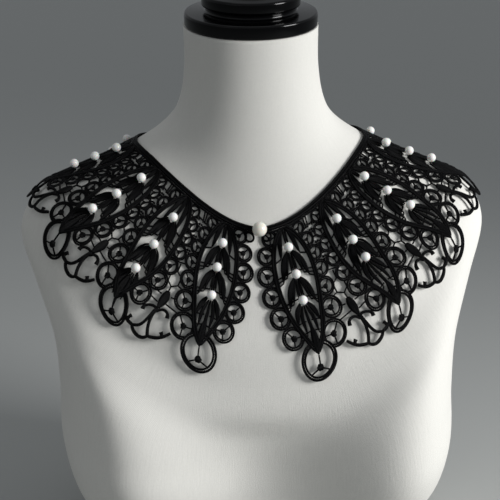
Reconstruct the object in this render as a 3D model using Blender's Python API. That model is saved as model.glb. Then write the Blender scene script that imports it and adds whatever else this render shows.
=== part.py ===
# Scalloped guipure lace collar with sewn-on pearls, lying on a limbless dress form.
# Front of the collar faces -Y, +X is to the right of a viewer in front, +Z is up.
import math

import bmesh
import bpy
import numpy as np
from mathutils import Vector
from mathutils.geometry import delaunay_2d_cdt

MM = 0.001

# Dress form. Each row is a level section: height of its side points, half width, depth in front
# of and behind the neck axis, slope from front to back, how far its front and its back hang
# below the sides, and how far the bust fills out. All in millimetres but the slope.
FORM_COLUMNS = ("side_z", "half_width", "front", "back", "slope", "front_drop", "back_drop", "bust")
FORM_SECTIONS = {
    "neck_top":      (438, 55.5, 56, 50, 0.18, 0, 0, 0),
    "neck_mid":      (406, 55.5, 54, 53, 0.22, 3, 0, 0),
    "neck_low":   (378, 60, 54, 61, 0.25, 12, 2, 0),
    "neck_root":  (359, 70, 57, 69, 0.25, 30, 6, 0),
    "neckline":   (344, 90, 63, 81, 0.22, 52, 34, 0),
    "yoke_in":    (330, 121, 79, 95, 0.14, 71, 51, 0),
    "yoke_out":   (317, 153, 93, 104, 0.08, 95, 71, 0),
    "shoulder":   (301, 184, 103, 108, 0.05, 105, 83, 0),
    "shoulder_edge": (272, 198, 110, 110, 0.03, 105, 84, 0),
    "upper_arm":     (232, 189, 114, 109, 0.02, 92, 70, 16),
    "chest":         (184, 177, 106, 106, 0.00, 70, 46, 46),
    "bust":          (134, 174, 102, 102, 0.00, 44, 22, 60),
    "under_bust":    (88, 175, 102, 98, 0.00, 22, 10, 60),
    "ribs":          (42, 166, 102, 93, 0.00, 4, 0, 36),
    "turn":       (12, 147, 100, 80, 0.00, 0, 0, 0),
    "base":       (0, 114, 78, 60, 0.00, 0, 0, 0),
}
FORM_NAMES = list(FORM_SECTIONS)
FORM_TABLE = np.array(list(FORM_SECTIONS.values()), float)
NECK_ROW = FORM_NAMES.index("neckline")
DROP_POWER = 2.5  # how sharply front and back hang between the sides
BODY_Y = 13.1  # the neck axis lies this far behind the middle of the whole part
FORM_SEGMENTS = 36
# Level rings of the form: between these fractional rows of the table, this many steps.
FORM_STEPS = ((0.0, 3.0, 4), (3.0, 6.0, 9), (6.0, 15.0, 14))

# Turned wooden cap on the neck: radius and height above the neck top, from below to the top.
CAP_PROFILE = (
    (53.6, 0.3), (54.6, 1.2), (54.6, 10.2), (53.6, 11.2), (38.4, 11.6), (37.2, 12.6),
    (37.2, 15.6), (39.6, 16.2), (40.4, 17.2), (40.4, 24.4), (39.2, 25.6), (30.0, 26.6),
    (26.5, 31.0), (19.0, 36.0), (10.0, 38.8),
)
CAP_SEGMENTS = 20

# Lace, drawn flat as part of a ring: the neckline is an arc and each leaf panel one equal angle.
PANELS_IN_ALL = 14
PANELS_A_SIDE = PANELS_IN_ALL // 2
SIDE_NAMES = {-1: "left", 1: "right"}
PANEL_ANGLE = 0.385  # radians
NECK_RADIUS = 106.5
BAND_WIDTH = 4.5
NECK_RISE = 3.0  # the neck edge runs over the form's neckline in front, to a shallow point
NECK_RISE_BESIDE = {-1: 4.0, 1: 1.8}
NECK_RISE_ENDS = math.radians(65)
SIDE_DIP = {-1: 10.0, 1: 6.0}  # past there, the neck edge hangs a little lower than the neckline
PANEL_PULL = 8.0  # the panels over the shoulders lie this much nearer the front
PANEL_PULL_FROM = 0.8
SEAM_GAP = 0.3
FRONT_GAP = 1.2  # between the two halves under the front pearl
LACE_START = BAND_WIDTH + SEAM_GAP
LACE_DEPTH = 117.0  # where the outer spacing of the panels is set
# Centre front to the first panel's axis along the neckline, on the left and on the right
FIRST_AXIS_NECK = {-1: 27.0, 1: 19.5}
FIRST_AXIS_EDGE = {-1: 54.0, 1: 45.0}  # and along the outer edge
EDGE_STEP = {-1: 80.0, 1: 78.0}  # from the first panel's axis to the second's, along the outer edge
OUTWARD_STRETCH = {-1: 0.965, 1: 1.02}  # the left half sits a little higher than the right
SIDE_SHORTENING = 0.08  # over the shoulders it is pulled up a little
LACE_GAP = 0.8  # between the form and the lace at the neck
HEM_LIFT = 1.9  # how much further the hem stands off
LACE_WALL = 1.4
BAND_WALL = 2.4

# One panel: an almond frame of double cord, with rings along both sides and one at its tip.
FRAME_ROOT = 4.0
FRAME_TIP = 105.0
FRAME_HALF_WIDTH = 19.2
FRAME_CORD = 4.0
TIP_RING = (0.0, 110.0, 15.9)  # across, outward, outer radius
TIP_RING_CORD = 3.6
KNOT_RADIUS = 3.2
SPOKE_HALF_WIDTH = 0.9
RING_CORD = 2.8
RING_OVERLAP = 0.6
FRAME_OVERLAP = 3.2  # how far a ring runs under the frame
RING_START = 12.0
OUTER_RING_RADII = (6.0, 6.2, 6.4, 6.8, 7.6, 9.2, 10.9)
INNER_RING_RADII = (5.8, 6.0, 6.2, 6.6, 7.2, 8.4, 9.3)
FRONT_RING_RADII = (7.0, 7.8, 8.4, 8.6, 9.2, 9.3)
SMALLEST_CUT_RING = 6.05
FRONT_CORNER_RINGS = {-1: (-22.4, 7.6, 4.6), 1: (-15.4, 7.4, 4.4)}
# Scallops of the hem between two panels, as parts of circles, and gaps of the valley above them:
# across from the valley's middle, outward from the neckline, radius
HEM_SCALLOPS = ((-4.0, 99.0, 15.5), (12.0, 107.0, 12.0), (26.0, 103.5, 10.0))
VALLEY_GAPS = (
    (-3.4, 102.6, 5.4), (12.0, 102.4, 4.6), (11.8, 114.0, 2.9),
    (1.6, 65.8, 3.8), (8.2, 84.5, 3.1), (-6.6, 84.5, 2.8),
)
SLIT_START = 67.0
SLIT_END = 95.0
SLIT_HALF_WIDTH = 2.2
STEM_STEPS = (12.0, 22.0, 32.0, 42.0, 52.0, 62.0, 73.0, 84.0)
LEAF_STEPS = (22.0, 34.0, 46.0, 58.0)
LEAF_SPREAD = 8.5
SEAM_STEPS = 8
SEAM_MARGIN = 4.0  # least cloth between a gap and the back seam

# Pearls along a panel's axis, from the neckline, as sewn on the first panels of each side
PEARL_PLACES = {
    (-1, 0): (23.0, 42.4, 64.6), (-1, 1): (27.3, 53.2, 76.8), (-1, 2): (22.0, 46.8, 70.5),
    (1, 0): (22.5, 43.2, 63.4), (1, 1): (24.4, 44.2, 60.5), (1, 2): (19.0, 40.5, 62.5),
}
OTHER_PEARLS = (22.0, 45.5, 67.5)
PEARL_RADIUS = 3.8
FRONT_PEARL_RADIUS = 6.0
SEAT_GAP = 0.3


def clear_scene():
    for thing in list(bpy.data.objects):
        bpy.data.objects.remove(thing, do_unlink=True)


def make_material(name, colour, roughness, metallic=0.0):
    material = bpy.data.materials.new(name)
    material.use_nodes = True
    shader = material.node_tree.nodes["Principled BSDF"]
    shader.inputs["Base Color"].default_value = (*colour, 1.0)
    shader.inputs["Roughness"].default_value = roughness
    shader.inputs["Metallic"].default_value = metallic
    return material


def add_object(name, points, faces, material, smooth=True):
    """Makes one closed mesh from points in millimetres, with its faces turned outward."""
    mesh = bpy.data.meshes.new(name)
    mesh.from_pydata([Vector(p) * MM for p in points], [], faces)
    body = bmesh.new()
    body.from_mesh(mesh)
    bmesh.ops.recalc_face_normals(body, faces=body.faces)
    for face in body.faces:
        face.smooth = smooth
    body.to_mesh(mesh)
    body.free()
    mesh.materials.append(material)
    thing = bpy.data.objects.new(name, mesh)
    bpy.context.collection.objects.link(thing)
    return thing


# The form's surface
def section_at(row):
    """Values of FORM_COLUMNS at a fractional row, on a smooth curve through the table."""
    row = np.clip(np.asarray(row, float), 0.0, len(FORM_TABLE) - 1 - 1e-9)
    low = np.floor(row).astype(int)
    part = (row - low)[..., None]
    last = len(FORM_TABLE) - 1
    before = FORM_TABLE[np.clip(low - 1, 0, last)]
    here = FORM_TABLE[low]
    after = FORM_TABLE[np.clip(low + 1, 0, last)]
    beyond = FORM_TABLE[np.clip(low + 2, 0, last)]
    return 0.5 * (
        2 * here
        + (after - before) * part
        + (2 * before - 5 * here + 4 * after - beyond) * part**2
        + (3 * here - before - 3 * after + beyond) * part**3
    )


def form_surface(turn, row):
    """Points of the form: turn is the angle from the centre front towards +X."""
    turn, row = np.broadcast_arrays(np.asarray(turn, float), np.asarray(row, float))
    values = section_at(row)
    side_z, half_width, front, back, slope, front_drop, back_drop, bust = np.moveaxis(values, -1, 0)
    ahead = np.cos(turn)
    size = np.abs(ahead)
    in_front = ahead > 0
    fullness = np.sin(2 * turn) ** 2
    x = half_width * np.sin(turn)
    y = np.where(in_front, -front * size - bust * fullness, back * size)
    z = side_z + slope * y - np.where(in_front, front_drop, back_drop) * size**DROP_POWER
    return np.stack([x, y + BODY_Y, z], axis=-1)


def form_normal(turn, row):
    step = 1e-3
    around = form_surface(turn + step, row) - form_surface(turn - step, row)
    down = form_surface(turn, row + step) - form_surface(turn, row - step)
    normal = np.cross(down, around)
    return normal / np.linalg.norm(normal, axis=-1, keepdims=True)


def lengths_along(points):
    steps = np.linalg.norm(np.diff(points, axis=0), axis=1)
    return np.concatenate([[0.0], np.cumsum(steps)])


# How the flat lace lies on the form
class Drape:
    """Maps the flat pattern to the form: panel axes keep their place along neckline and edge."""

    TURNS = np.radians(np.linspace(0.0, 180.0, 361))
    ROWS = np.linspace(NECK_ROW, NECK_ROW + 7.0, 500)
    PANEL_STEP = 0.05
    FIRST_PANEL = -0.6

    def __init__(self, side):
        self.side = side
        self.first_neck = FIRST_AXIS_NECK[side]
        neck = form_surface(self.TURNS, NECK_ROW)
        self.neck_lengths = lengths_along(neck)
        edge_rows = []
        for turn in self.TURNS:
            down = lengths_along(form_surface(turn, self.ROWS))
            edge_rows.append(np.interp(LACE_DEPTH, down, self.ROWS))
        self.edge_lengths = lengths_along(form_surface(self.TURNS, np.array(edge_rows)))
        self.back_axis = (PANELS_IN_ALL - 1) / 2
        self.neck_step = (self.neck_lengths[-1] - self.first_neck) / self.back_axis
        self.first_edge = FIRST_AXIS_EDGE[side]
        self.edge_step = EDGE_STEP[side]
        spread = self.edge_lengths[-1] - self.first_edge - self.edge_step * self.back_axis
        self.edge_bend = spread / (self.back_axis * (self.back_axis - 1))
        self.panels = np.arange(self.FIRST_PANEL, self.back_axis + 0.6, self.PANEL_STEP)
        to_the_side = np.clip((self.panels - 1.4) / 1.6, 0.0, 1.0)
        self.rise = self.rise_at(self.turn_of(self.panels, 0.0))
        self.stretch = OUTWARD_STRETCH[side] * (1 - SIDE_SHORTENING * to_the_side)
        self.stretch *= 1 + self.rise / LACE_DEPTH
        self.rows = self.march()

    def angle_at_neck(self, length):
        """Pattern angle at a length along the neckline from the centre front."""
        return (length - self.first_neck) / self.neck_step * PANEL_ANGLE

    def turn_of(self, panel, outward):
        """Angle round the form of a panel coordinate, 0 on the first panel's axis."""
        share = np.clip((panel - PANEL_PULL_FROM) / (self.back_axis - PANEL_PULL_FROM), 0.0, 1.0)
        pull = PANEL_PULL * np.sin(math.pi * share)
        neck_at = self.first_neck + panel * self.neck_step - pull
        edge_at = self.first_edge + self.edge_step * panel - pull
        edge_at = edge_at + self.edge_bend * panel * (panel - 1)
        neck_turn = self.turn_at(neck_at, self.neck_lengths)
        edge_turn = self.turn_at(edge_at, self.edge_lengths)
        return neck_turn + (edge_turn - neck_turn) * outward / LACE_DEPTH

    def turn_at(self, length, lengths):
        return np.sign(length) * np.interp(np.abs(length), lengths, self.TURNS)

    def rise_at(self, turn):
        """How far over the form's neckline the neck edge lies, in millimetres."""
        share = np.clip(np.abs(turn) / NECK_RISE_ENDS, 0.0, 1.0)
        beside = NECK_RISE_BESIDE[self.side] * np.sin(math.pi * share)
        behind = np.clip((np.abs(turn) - NECK_RISE_ENDS) / (math.pi - NECK_RISE_ENDS), 0.0, 1.0)
        dip = SIDE_DIP[self.side] * np.sin(math.pi * behind)
        return NECK_RISE * (1 - share) ** 2 * (1 + 2 * share) + beside - dip

    def march(self):
        """Row of the form reached at each whole millimetre outward, for each panel coordinate."""
        turn_now = self.turn_of(self.panels, 0.0)
        step = form_surface(turn_now, NECK_ROW) - form_surface(turn_now, NECK_ROW - 0.1)
        row = NECK_ROW - 0.1 * self.rise / np.linalg.norm(step, axis=-1)
        rows = [row]
        for outward in range(1, 141):
            turn_before = self.turn_of(self.panels, outward - 1.0)
            start = form_surface(turn_before, row)
            turn_now = self.turn_of(self.panels, float(outward))
            near, far = row, row + 0.4
            for _ in range(16):
                middle = (near + far) / 2
                gone = np.linalg.norm(form_surface(turn_now, middle) - start, axis=-1)
                near = np.where(gone < self.stretch, middle, near)
                far = np.where(gone < self.stretch, far, middle)
            row = (near + far) / 2
            rows.append(row)
        return np.array(rows).T

    def place(self, flat, lift):
        """Points at a height over the form, from flat pattern points."""
        flat = np.asarray(flat, float)
        reach = np.hypot(flat[:, 0], flat[:, 1])
        panel = np.arctan2(flat[:, 0], flat[:, 1]) / PANEL_ANGLE
        outward = reach - NECK_RADIUS
        across = np.clip((panel - self.FIRST_PANEL) / self.PANEL_STEP, 0, len(self.panels) - 1.001)
        along = np.clip(outward, 0, self.rows.shape[1] - 1.001)
        i = across.astype(int)
        j = along.astype(int)
        a = across - i
        b = along - j
        row = (self.rows[i, j] * (1 - a) + self.rows[i + 1, j] * a) * (1 - b)
        row += (self.rows[i, j + 1] * (1 - a) + self.rows[i + 1, j + 1] * a) * b
        turn = self.side * self.turn_of(panel, outward)
        return form_surface(turn, row) + form_normal(turn, row) * np.reshape(lift, (-1, 1))


# The flat pattern
def standoff(flat):
    """Height of the lace over the form: it lies close at the neck and springs at the hem."""
    outward = np.hypot(flat[:, 0], flat[:, 1]) - NECK_RADIUS
    share = np.clip((outward - 45.0) / 70.0, 0.0, 1.0)
    return LACE_GAP + HEM_LIFT * share**2 * (3 - 2 * share)


def to_pattern(points, panel):
    """Turns points of one panel, across and outward from the neckline, to its place."""
    angle = panel * PANEL_ANGLE
    points = np.asarray(points, float) + (0.0, NECK_RADIUS)
    x = points[:, 0] * math.cos(angle) + points[:, 1] * math.sin(angle)
    y = points[:, 1] * math.cos(angle) - points[:, 0] * math.sin(angle)
    return np.stack([x, y], axis=1)


def frame_half_width(outward):
    share = (outward - FRAME_ROOT) / (FRAME_TIP - FRAME_ROOT)
    share = min(max(share, 1e-4), 1 - 1e-4)
    return FRAME_HALF_WIDTH * math.sin(math.pi * share**0.8) ** 0.66


def ring_beside_frame(outward, radius, side):
    """Centre of a ring whose outer edge laps over the frame's outer edge."""
    slope = (frame_half_width(outward + 0.5) - frame_half_width(outward - 0.5)) / 1.0
    normal = Vector((1.0, -slope)).normalized() * (radius - FRAME_OVERLAP)
    return (side * (frame_half_width(outward) + normal.x), outward + normal.y)


def ring_row(radii, side):
    """Rings that touch one after another down one side of the frame: across, outward, radius."""
    rings = []
    outward = RING_START
    for radius in radii:
        centre = ring_beside_frame(outward, radius, side)
        while rings and math.dist(centre, rings[-1][:2]) < rings[-1][2] + radius - RING_OVERLAP:
            outward += 0.1
            centre = ring_beside_frame(outward, radius, side)
        rings.append((*centre, radius))
    return rings


def front_ring_row():
    return ring_row(FRONT_RING_RADII, -1)


def ring_from_valley(across, outward, radius):
    """A circle placed from the middle of the valley beyond a panel, in the panel's own points."""
    reach = NECK_RADIUS + outward
    angle = PANEL_ANGLE / 2 + across / reach
    return (reach * math.sin(angle), reach * math.cos(angle) - NECK_RADIUS, radius)


def circle_points(ring, radius, count, start=0.0):
    angles = start + np.arange(count) * 2 * math.pi / count
    return np.stack([ring[0] + radius * np.cos(angles), ring[1] + radius * np.sin(angles)], axis=1)


def keep_out(points, ring, radius):
    """Moves points that lie inside a circle to its edge."""
    offset = points - np.array(ring[:2])
    distance = np.linalg.norm(offset, axis=1, keepdims=True)
    return np.where(distance < radius, ring[:2] + offset / distance * radius, points)


def tip_ring_sectors():
    """Three gaps of the tip ring, between its cord, the knot in its middle and three spokes."""
    inner = TIP_RING[2] - TIP_RING_CORD
    sectors = []
    for spoke in range(3):
        first = math.radians(90 + 120 * spoke)
        last = first + math.radians(120)
        trim = SPOKE_HALF_WIDTH / inner
        outer_arc = [first + trim + (last - first - 2 * trim) * k / 4 for k in range(5)]
        trim = SPOKE_HALF_WIDTH / KNOT_RADIUS
        inner_arc = [last - trim, first + trim]
        loop = [(inner * math.cos(a), inner * math.sin(a)) for a in outer_arc]
        loop += [(KNOT_RADIUS * math.cos(a), KNOT_RADIUS * math.sin(a)) for a in inner_arc]
        sectors.append(np.array(loop) + TIP_RING[:2])
    return sectors


def frame_slit(side):
    """Long gap between the middle leaf and the frame near its tip."""
    edge = []
    for share in (0.0, 0.3, 0.65, 1.0):
        outward = SLIT_START + (SLIT_END - SLIT_START) * share
        middle = 0.66 * (frame_half_width(outward) - FRAME_CORD)
        edge.append((outward, middle, SLIT_HALF_WIDTH * math.sin(math.pi * share)))
    loop = [(side * (middle + half), outward) for outward, middle, half in edge]
    loop += [(side * (middle - half), outward) for outward, middle, half in edge[-2:0:-1]]
    return np.array(loop)


def panel_holes(first, last):
    """Gaps of one panel and the valley beyond it. The first panel has the collar's front edge."""
    holes = tip_ring_sectors()
    rings = ring_row(OUTER_RING_RADII, 1) + (front_ring_row() if first else ring_row(INNER_RING_RADII, -1))
    for ring in rings:
        if ring[2] >= SMALLEST_CUT_RING:
            corners = 6 if ring[2] < 7.0 else 7
            hole = circle_points(ring, ring[2] - RING_CORD, corners, math.pi / 8)
            holes.append(keep_out(hole, TIP_RING, TIP_RING[2] + 0.6))
    for across, outward, radius in VALLEY_GAPS:
        if last and across + radius > -SEAM_MARGIN:
            continue
        holes.append(circle_points(ring_from_valley(across, outward, radius), radius, 6))
    holes += [frame_slit(1), frame_slit(-1)]
    return holes


def leaf_points():
    """Points inside the frame and the uncut rings, so that the wall there follows the form."""
    stem = [(0.0, outward) for outward in STEM_STEPS]
    sides = [(side * LEAF_SPREAD, outward) for outward in LEAF_STEPS for side in (1, -1)]
    rings = ring_row(OUTER_RING_RADII, 1) + ring_row(INNER_RING_RADII, -1)
    uncut = [ring[:2] for ring in rings if ring[2] < SMALLEST_CUT_RING]
    return stem + sides + uncut


def crossing(first, second):
    """Point where two circles cross, on the left of the way from the first to the second."""
    start = Vector(first[:2])
    line = Vector(second[:2]) - start
    apart = line.length
    along = (first[2] ** 2 - second[2] ** 2 + apart**2) / (2 * apart)
    rise = math.sqrt(max(first[2] ** 2 - along**2, 0.0))
    unit = line / apart
    return start + unit * min(along, first[2]) + Vector((-unit.y, unit.x)) * rise


def arc_between(ring, start, end, step=0.62):
    """Points of a circle from start to end, going round it clockwise."""
    first = math.atan2(start[1] - ring[1], start[0] - ring[0])
    last = math.atan2(end[1] - ring[1], end[0] - ring[0])
    span = (first - last) % (2 * math.pi)
    count = max(1, round(span / step))
    angles = [first - span * k / count for k in range(1, count)]
    return [(ring[0] + ring[2] * math.cos(a), ring[1] + ring[2] * math.sin(a)) for a in angles]


def turned_ring(ring, panel):
    centre = to_pattern([ring[:2]], panel)[0]
    return (centre[0], centre[1], ring[2])


def scalloped_edge(panel_count, front_angle, side):
    """Outline of a lace half from the front corner round every scallop to the back seam."""
    chain = [turned_ring(FRONT_CORNER_RINGS[side], 0)]
    chain += [turned_ring(ring, 0) for ring in front_ring_row()]
    for panel in range(panel_count):
        chain.append(turned_ring(TIP_RING, panel))
        chain.append(turned_ring(ring_row(OUTER_RING_RADII, 1)[-1], panel))
        scallops = HEM_SCALLOPS[:1] if panel == panel_count - 1 else HEM_SCALLOPS
        chain += [turned_ring(ring_from_valley(*scallop), panel) for scallop in scallops]
    corner = polar_point(front_angle, NECK_RADIUS + LACE_START)
    seam_angle = (panel_count - 0.5) * PANEL_ANGLE - SEAM_GAP / 2 / NECK_RADIUS
    knots = [Vector(corner)]
    knots += [crossing(first, second) for first, second in zip(chain, chain[1:])]
    knots.append(seam_on_circle(chain[-1], seam_angle))
    outline = [corner]
    for ring, start, end in zip(chain, knots, knots[1:]):
        outline += arc_between(ring, start, end)
        outline.append((end.x, end.y))
    reach = math.hypot(*knots[-1])
    for k in range(1, SEAM_STEPS + 1):
        along = reach + (NECK_RADIUS + LACE_START - reach) * k / SEAM_STEPS
        outline.append(polar_point(seam_angle, along))
    steps = panel_count * 6
    for k in range(1, steps):
        angle = seam_angle + (front_angle - seam_angle) * k / steps
        outline.append(polar_point(angle, NECK_RADIUS + LACE_START))
    return np.array(outline)


def polar_point(angle, reach):
    return (reach * math.sin(angle), reach * math.cos(angle))


def seam_on_circle(ring, seam_angle):
    """Outer point where the seam line crosses the last scallop."""
    way = Vector(polar_point(seam_angle, 1.0))
    centre = Vector(ring[:2])
    along = centre.dot(way)
    off = (centre - way * along).length
    return way * (along + math.sqrt(max(ring[2] ** 2 - off**2, 0.0)))


def counter_clockwise(loop):
    x, y = loop[:, 0], loop[:, 1]
    doubled_area = np.sum(x * np.roll(y, -1) - y * np.roll(x, -1))
    return loop if doubled_area > 0 else loop[::-1]


def lace_wall(name, drape, material):
    """One lace piece: the flat pattern with its gaps cut out, laid on the form as a wall."""
    last = PANELS_A_SIDE - 1
    front_angle = drape.angle_at_neck(FRONT_GAP / 2)
    loops = [scalloped_edge(PANELS_A_SIDE, front_angle, drape.side)]
    for panel in range(PANELS_A_SIDE):
        loops += [to_pattern(hole, panel) for hole in panel_holes(panel == 0, panel == last)]
    loops = [counter_clockwise(loop) for loop in loops]
    inner = [to_pattern(leaf_points(), panel) for panel in range(PANELS_A_SIDE)]
    points = np.concatenate(loops + inner)
    faces = []
    start = 0
    for loop in loops:
        faces.append(list(range(start, start + len(loop))))
        start += len(loop)
    flat, _, triangles, _, _, from_faces = delaunay_2d_cdt(
        [Vector(p) for p in points], [], faces, 1, 1e-4
    )
    kept = [t for t, source in zip(triangles, from_faces) if list(source) == [0]]
    flat = np.array([(p.x, p.y) for p in flat])
    count = len(flat)
    under = drape.place(flat, standoff(flat))
    over = drape.place(flat, standoff(flat) + LACE_WALL)
    edges = {}
    for a, b, c in kept:
        for pair in ((a, b), (b, c), (c, a)):
            edges[pair] = True
    walls = [(a, b, b + count, a + count) for a, b in edges if (b, a) not in edges]
    lower = [(c, b, a) for a, b, c in kept]
    upper = [(a + count, b + count, c + count) for a, b, c in kept]
    add_object(name, np.concatenate([under, over]), lower + upper + walls, material, smooth=False)


def neck_band(name, drape, material):
    """Two cords side by side along the neckline, as one bar with a furrow in its top."""
    front_angle = drape.angle_at_neck(FRONT_GAP / 2)
    seam_angle = (PANELS_A_SIDE - 0.5) * PANEL_ANGLE - SEAM_GAP / 2 / NECK_RADIUS
    # across the band from the neckline, and height over the form
    profile = (
        (0.0, LACE_GAP), (0.0, 2.0), (1.2, LACE_GAP + BAND_WALL), (2.25, 2.4),
        (3.3, LACE_GAP + BAND_WALL), (BAND_WIDTH, 2.0), (BAND_WIDTH, LACE_GAP),
    )
    stations = PANELS_A_SIDE * 6
    points = []
    for k in range(stations + 1):
        angle = front_angle + (seam_angle - front_angle) * k / stations
        flat = [polar_point(angle, NECK_RADIUS + across) for across, _ in profile]
        points.append(drape.place(flat, np.array([height for _, height in profile])))
    points = np.concatenate(points)
    size = len(profile)
    faces = [tuple(range(size)), tuple(stations * size + k for k in reversed(range(size)))]
    for k in range(stations):
        for j in range(size):
            a = k * size + j
            b = k * size + (j + 1) % size
            faces.append((a, a + size, b + size, b))
    add_object(name, points, faces, material)


def add_pearl(name, flat, radius, drape, material, lift):
    centre = drape.place([flat], np.array([lift + SEAT_GAP + radius]))[0]
    mesh = bpy.data.meshes.new(name)
    ball = bmesh.new()
    bmesh.ops.create_uvsphere(ball, u_segments=8, v_segments=4, radius=radius * MM)
    for face in ball.faces:
        face.smooth = True
    ball.to_mesh(mesh)
    ball.free()
    mesh.materials.append(material)
    thing = bpy.data.objects.new(name, mesh)
    thing.location = Vector(centre) * MM
    bpy.context.collection.objects.link(thing)


def build_pearls(drapes, material, cream):
    """Three pearls on the axis of each panel, and the larger one over the front opening."""
    for side, half in SIDE_NAMES.items():
        for panel in range(PANELS_A_SIDE):
            for k, outward in enumerate(PEARL_PLACES.get((side, panel), OTHER_PEARLS)):
                flat = to_pattern([(0.0, outward)], panel)[0]
                name = f"pearl_{half}_{panel + 1}_{k + 1}"
                lift = float(standoff(np.array([flat]))[0]) + LACE_WALL
                add_pearl(name, flat, PEARL_RADIUS, drapes[side], material, lift)
    right = drapes[1]
    flat = polar_point(right.angle_at_neck(0.0), NECK_RADIUS + BAND_WIDTH / 2)
    add_pearl("front_pearl", flat, FRONT_PEARL_RADIUS, right, cream, LACE_GAP + BAND_WALL)


def ring_faces(count, rings):
    faces = []
    for k in range(rings - 1):
        for j in range(count):
            a = k * count + j
            b = k * count + (j + 1) % count
            faces.append((a, b, b + count, a + count))
    faces.append(tuple(reversed(range(count))))
    faces.append(tuple((rings - 1) * count + j for j in range(count)))
    return faces


def build_form(material):
    rows = [np.linspace(first, last, steps + 1)[:-1] for first, last, steps in FORM_STEPS]
    rows = np.concatenate(rows + [[FORM_STEPS[-1][1]]])
    turns = np.arange(FORM_SEGMENTS) * 2 * math.pi / FORM_SEGMENTS
    points = np.concatenate([form_surface(turns, row) for row in rows])
    add_object("form_torso", points, ring_faces(FORM_SEGMENTS, len(rows)), material)


def cap_axes():
    """Middle of the neck top, and the directions across and up its sloping face."""
    ring = form_surface(np.radians(np.array([0.0, 90.0, 180.0, 270.0])), 0.0)
    middle = (ring[0] + ring[2]) / 2
    back = Vector(ring[2] - ring[0]).normalized()
    up = Vector((1.0, 0.0, 0.0)).cross(back)
    return Vector(middle), Vector((1.0, 0.0, 0.0)), back, up


def build_cap(material):
    middle, right, back, up = cap_axes()
    points = []
    for radius, height in CAP_PROFILE:
        for k in range(CAP_SEGMENTS):
            angle = k * 2 * math.pi / CAP_SEGMENTS
            across = right * math.cos(angle) * radius + back * math.sin(angle) * radius
            points.append(middle + across + up * height)
    faces = ring_faces(CAP_SEGMENTS, len(CAP_PROFILE))
    add_object("neck_cap", points, faces, material)


def main():
    clear_scene()
    lace = make_material("lace_thread", (0.012, 0.012, 0.014), 0.55)
    pearl = make_material("pearl_white", (0.85, 0.84, 0.82), 0.25)
    cream = make_material("pearl_cream", (0.80, 0.74, 0.62), 0.22)
    cloth = make_material("form_cloth", (0.72, 0.71, 0.68), 0.9)
    wood = make_material("cap_wood", (0.02, 0.017, 0.016), 0.3)
    drapes = {side: Drape(side) for side in SIDE_NAMES}
    build_form(cloth)
    build_cap(wood)
    for side, half in SIDE_NAMES.items():
        lace_wall("lace_" + half, drapes[side], lace)
        neck_band("band_" + half, drapes[side], lace)
    build_pearls(drapes, pearl, cream)


main()
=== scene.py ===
# %% [markdown]
# # A black lace collar on a dress form
# The collar is guipure: thread sewn into cords, rings and leaves, with nothing between them but
# thin ties. It lies on a cloth-covered form with a lacquered wooden neck cap. This lesson builds
# the thread as real cords, because the light that falls between them is what makes lace look like
# lace. The solid parts are loaded first, as a fixed frame for the new pieces.

# %% Load the fixed parts
import math

import bpy
import numpy as np
from mathutils import Matrix, Vector


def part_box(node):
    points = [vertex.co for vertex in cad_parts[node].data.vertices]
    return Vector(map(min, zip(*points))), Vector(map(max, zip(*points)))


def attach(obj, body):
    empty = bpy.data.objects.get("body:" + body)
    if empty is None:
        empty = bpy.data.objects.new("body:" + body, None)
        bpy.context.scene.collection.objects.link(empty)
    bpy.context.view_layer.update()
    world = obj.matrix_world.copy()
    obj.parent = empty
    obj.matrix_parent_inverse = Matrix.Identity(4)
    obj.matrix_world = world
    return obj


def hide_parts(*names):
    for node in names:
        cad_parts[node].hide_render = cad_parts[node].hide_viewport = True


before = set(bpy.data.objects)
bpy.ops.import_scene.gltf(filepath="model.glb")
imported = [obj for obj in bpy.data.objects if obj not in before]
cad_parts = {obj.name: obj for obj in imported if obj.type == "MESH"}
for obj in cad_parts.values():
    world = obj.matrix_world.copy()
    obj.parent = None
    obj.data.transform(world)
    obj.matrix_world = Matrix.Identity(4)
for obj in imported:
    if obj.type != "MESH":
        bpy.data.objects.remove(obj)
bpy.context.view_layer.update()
MM = 0.001
print("fixed parts:", len(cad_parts))

# %% [markdown]
# ## Camera
# The photograph looks slightly down on the collar with a long lens, a little from the wearer's
# right. The camera is placed first, from the point it looks at, so that everything after it can be
# judged in the same view.

# %% Camera
CAMERA_AIM = Vector((-7.5, -52.9, 263.0)) * MM
CAMERA_DISTANCE = 0.850
CAMERA_TURN = math.radians(-3.5)
CAMERA_RISE = math.radians(16.0)
CAMERA_ROLL = math.radians(-0.9)
LENS_IN_IMAGE_WIDTHS = 1054 / 500


def make_camera():
    back = Vector((
        math.sin(CAMERA_TURN) * math.cos(CAMERA_RISE),
        -math.cos(CAMERA_TURN) * math.cos(CAMERA_RISE),
        math.sin(CAMERA_RISE),
    ))
    data = bpy.data.cameras.new("camera")
    data.sensor_width = 36.0
    data.lens = 36.0 * LENS_IN_IMAGE_WIDTHS
    camera = bpy.data.objects.new("camera", data)
    bpy.context.collection.objects.link(camera)
    camera.location = CAMERA_AIM + back * CAMERA_DISTANCE
    turn = back.to_track_quat("Z", "Y").to_matrix() @ Matrix.Rotation(CAMERA_ROLL, 3, "Z")
    camera.rotation_euler = turn.to_euler()
    bpy.context.scene.camera = camera
    return camera


camera = make_camera()
print("camera at", tuple(round(x, 3) for x in camera.location))

# %% [markdown]
# ## The form's surface
# Everything here lies on one curved surface, so it is written once as a function. A short table
# gives level sections of the form, a smooth curve joins them, and any point of the surface is
# found from its angle round the form and its fractional row in the table.

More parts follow.
